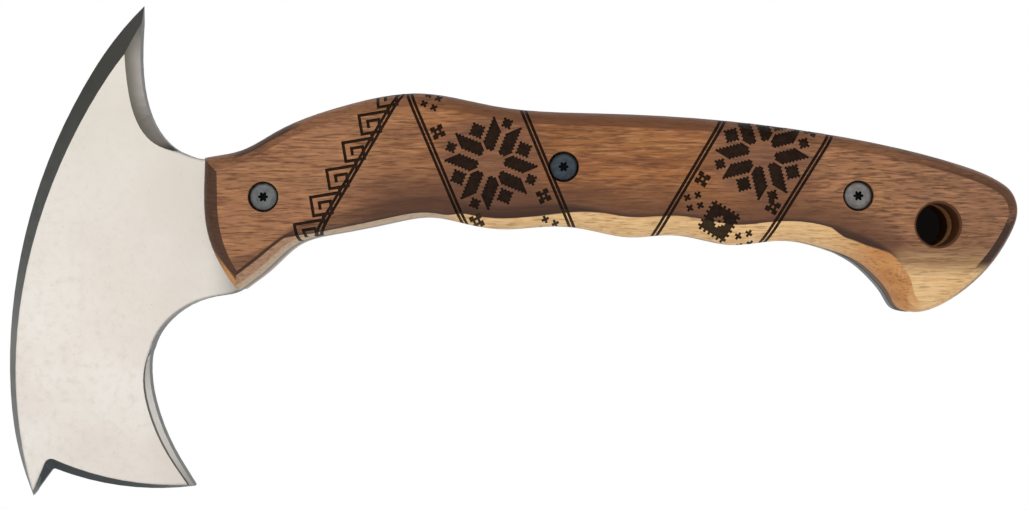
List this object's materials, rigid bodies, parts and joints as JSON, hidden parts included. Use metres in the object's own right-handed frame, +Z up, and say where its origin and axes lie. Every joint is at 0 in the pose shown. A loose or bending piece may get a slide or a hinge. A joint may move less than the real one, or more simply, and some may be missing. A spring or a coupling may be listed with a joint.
{
  "type": "hatchet",
  "caption": "Full-tang hatchet with a horned and bearded head, contoured wooden scales, a lanyard hole and screwed handle bolts.",
  "frame": {"origin": "centre of the lanyard hole, midway between the two flat outer faces of the scales", "axes": "+X along the handle away from the head, +Z up with the horn uppermost, +Y from the front scale to the back scale"},
  "size_m": [0.2838, 0.024, 0.1387],
  "materials": {
    "blade_steel": "stonewashed",
    "walnut": "oiled",
    "sleeve_steel": "turned",
    "screw_steel": "blued"
  },
  "bodies": {
    "root": {"blade_and_tang": "blade_steel", "front_scale": "walnut", "back_scale": "walnut", "sleeve_front": "sleeve_steel", "sleeve_middle": "sleeve_steel", "sleeve_rear": "sleeve_steel", "screw_front_front_side": "screw_steel", "screw_front_back_side": "screw_steel", "screw_middle_front_side": "screw_steel", "screw_middle_back_side": "screw_steel", "screw_rear_front_side": "screw_steel", "screw_rear_back_side": "screw_steel"}
  },
  "joints": []
}
